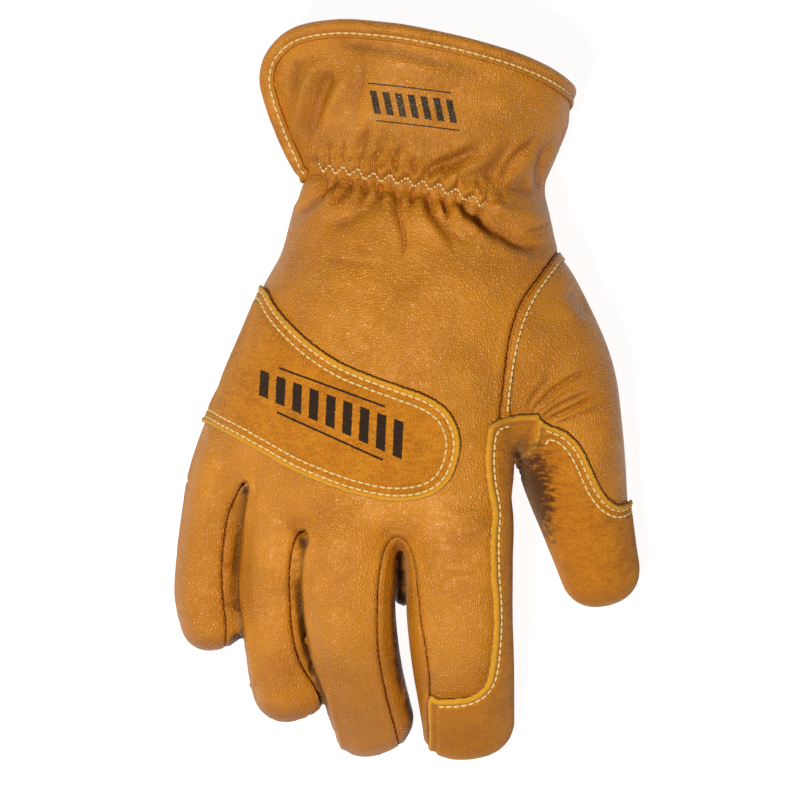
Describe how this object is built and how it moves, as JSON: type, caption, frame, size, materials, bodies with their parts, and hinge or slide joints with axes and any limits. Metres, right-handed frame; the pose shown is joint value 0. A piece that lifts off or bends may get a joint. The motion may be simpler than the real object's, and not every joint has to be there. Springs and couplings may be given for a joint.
{
  "type": "fire-resistant work glove",
  "caption": "Right-hand leather work glove lying palm down, with suede overlays on the knuckles, index finger and thumb, a gathered wrist and a bound slip-on cuff.",
  "frame": {"origin": "centre of the outline seen from above, on the surface that the glove lies on", "axes": "+Y from the fingertips to the cuff, +Z from the palm to the back of the hand, thumb on the +X side"},
  "size_m": [0.1601, 0.2488, 0.0655],
  "materials": {
    "grain_leather": "grained golden tan leather, softly glossy",
    "suede": "napped golden tan suede",
    "binding_leather": "grained golden tan leather strip, folded and stitched"
  },
  "bodies": {
    "root": {"back_panel": "grain_leather", "palm_panel": "grain_leather", "thumb_panel": "grain_leather", "index_front": "grain_leather", "middle_front": "grain_leather", "ring_front": "grain_leather", "little_front": "grain_leather", "fourchette_ring_little": "grain_leather", "fourchette_middle_ring": "grain_leather", "fourchette_index_middle": "grain_leather", "knuckle_patch": "suede", "index_overlay": "suede", "thumb_overlay": "suede", "thumb_welt": "grain_leather", "cuff_binding": "binding_leather"}
  },
  "joints": []
}
